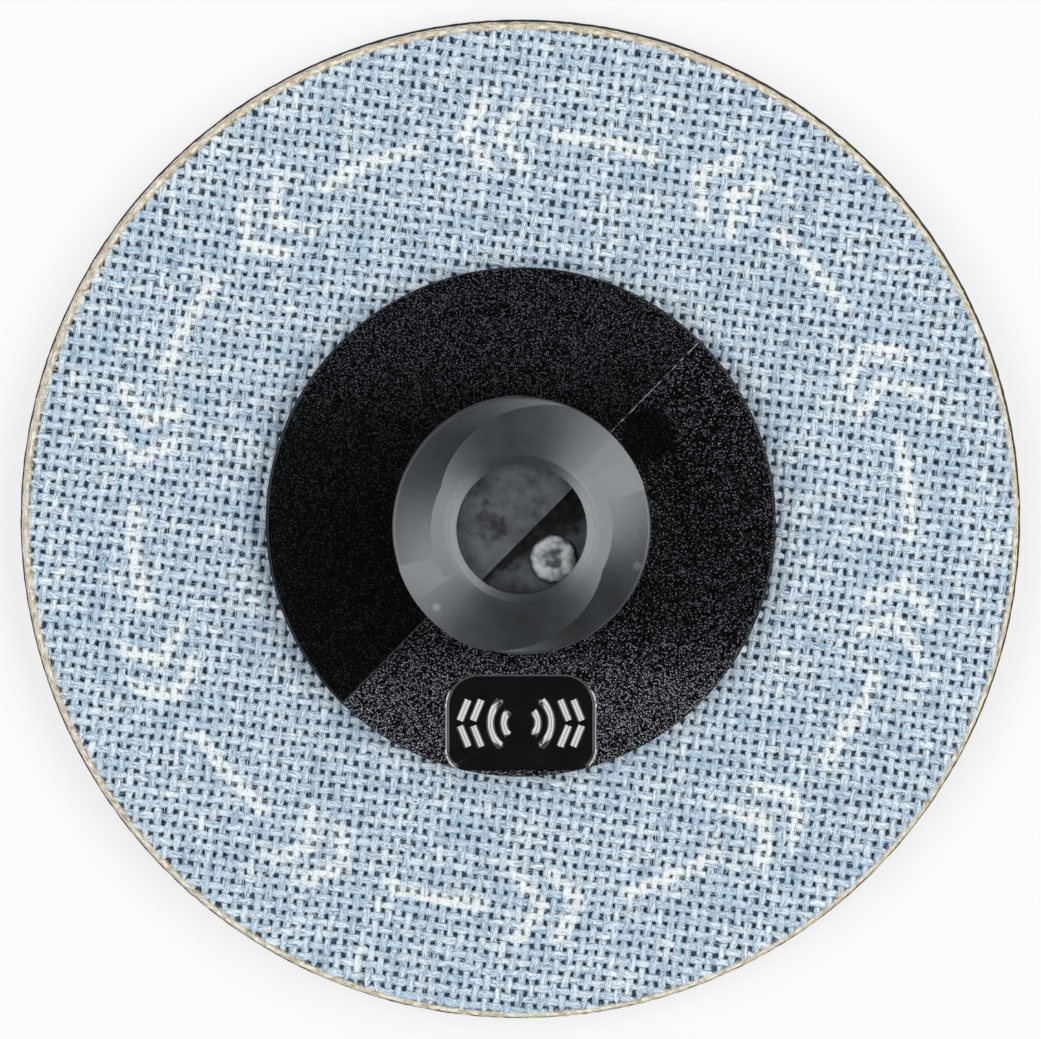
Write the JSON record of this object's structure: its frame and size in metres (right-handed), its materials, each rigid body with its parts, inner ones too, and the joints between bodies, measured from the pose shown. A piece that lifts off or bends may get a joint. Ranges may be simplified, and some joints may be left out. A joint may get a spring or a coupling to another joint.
{
  "type": "quick-change sanding disc",
  "caption": "Small round sanding disc of laminated abrasive cloth, with a moulded button whose coarse threaded stem twists into a holder pad.",
  "frame": {"origin": "on the disc's axis, in the plane that the grain tips stand on", "axes": "+Z along the axis from the grain towards the stem's end, +Y away from the sunk pad on the flange, +X to the right as the back is seen from above"},
  "size_m": [0.05, 0.05, 0.0095],
  "materials": {
    "grain_and_resin": "dark angular abrasive grain bonded in dull resin",
    "raw_cloth": "undyed woven cloth with a frayed punched edge",
    "laminating_glue": "thin brown adhesive film",
    "blue_cloth": "pale blue plain weave, stiff and matt",
    "hub_adhesive": "thin dark adhesive film",
    "black_plastic": "black moulded plastic, eroded flange, smoother stem and a polished sunk pad"
  },
  "bodies": {
    "root": {"grain_coat": "grain_and_resin", "grain_cloth": "raw_cloth", "laminate_glue": "laminating_glue", "back_cloth": "blue_cloth", "hub_glue": "hub_adhesive", "hub_button": "black_plastic"}
  },
  "joints": []
}
